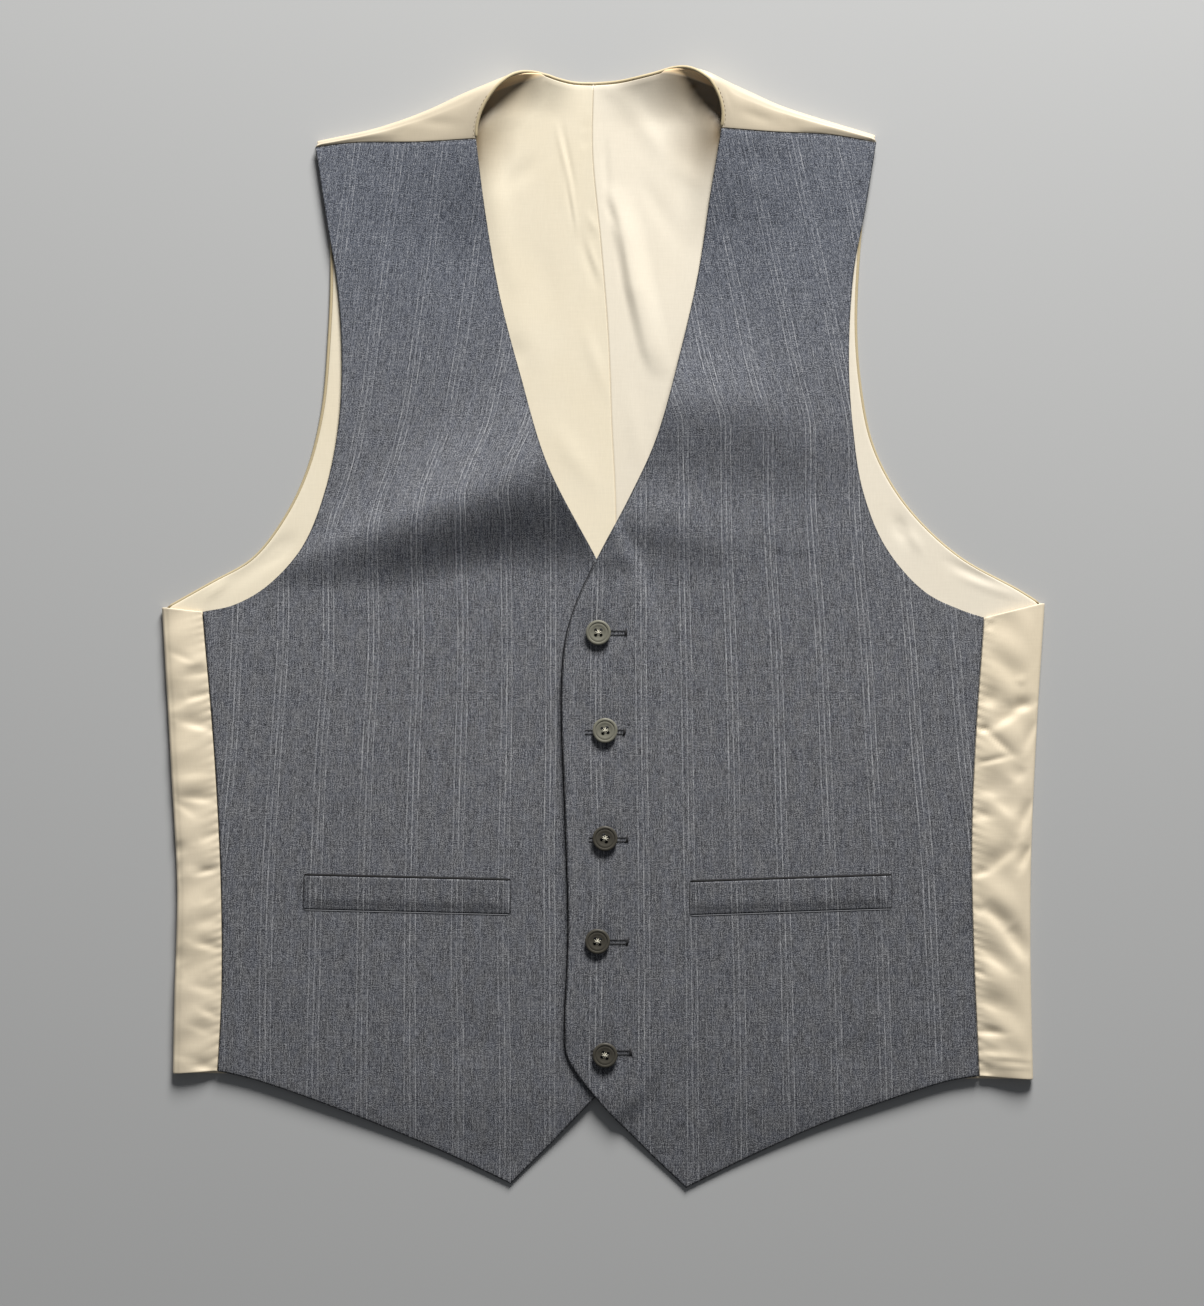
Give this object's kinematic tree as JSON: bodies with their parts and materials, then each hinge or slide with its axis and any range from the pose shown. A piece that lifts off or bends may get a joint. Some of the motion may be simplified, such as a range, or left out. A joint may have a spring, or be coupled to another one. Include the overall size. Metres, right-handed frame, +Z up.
{
  "type": "suit waistcoat laid flat",
  "caption": "Buttoned suit waistcoat lying flat, face up: worsted fronts with welt pockets and pointed hem over a satin back that folds forward at the sides and shoulders.",
  "frame": {"origin": "centre of the bounding box in plan, on the surface that the waistcoat lies on", "axes": "+Y from the hem to the neck, +X towards the wearer's left front, +Z up from the surface"},
  "size_m": [0.529, 0.6727, 0.0144],
  "materials": {
    "suiting": "mid grey-blue worsted with groups of fine light pinstripes",
    "satin": "cream satin, soft sheen",
    "lining": "cream satin lining, soft sheen, plain",
    "button": "dark olive-grey horn look, polished rim"
  },
  "bodies": {
    "root": {"back_left": "satin", "back_right": "satin", "back_lining_left": "lining", "back_lining_right": "lining", "front_left": "suiting", "front_right": "suiting", "welt_left": "suiting", "welt_right": "suiting", "button_1": "button", "button_2": "button", "button_3": "button", "button_4": "button", "button_5": "button"}
  },
  "joints": []
}
